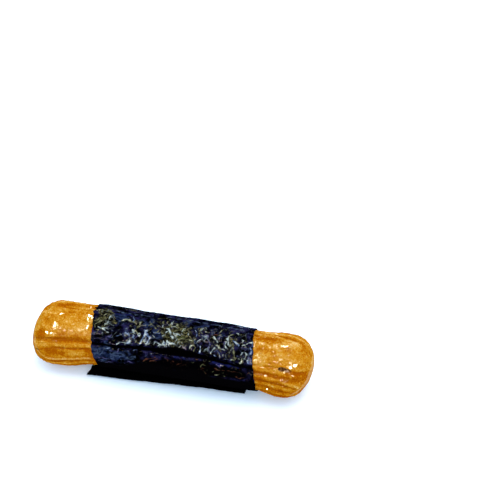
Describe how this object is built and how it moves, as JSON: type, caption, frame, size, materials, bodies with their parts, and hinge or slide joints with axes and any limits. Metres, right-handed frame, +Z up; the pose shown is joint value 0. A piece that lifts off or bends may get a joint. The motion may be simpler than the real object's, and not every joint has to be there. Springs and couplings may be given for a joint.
{
  "type": "nori-wrapped rice cracker",
  "caption": "Puffed, ridged rice cracker stick with a soy glaze, rolled in a band of toasted seaweed whose outer edge is loose underneath; it lies on its flat underside.",
  "frame": {"origin": "centre of the bounding box, on the surface that the cracker rests on", "axes": "+X along the stick, +Z up, the smooth puffed side of the stick towards -Y and up"},
  "size_m": [0.052, 0.0128, 0.0109],
  "materials": {
    "rice_stick": "puffed rice dough baked golden orange, under a clear glossy soy glaze",
    "nori": "toasted seaweed, black-green, crinkled, with a dull sheen"
  },
  "bodies": {
    "root": {"cracker": "rice_stick", "nori": "nori"}
  },
  "joints": []
}
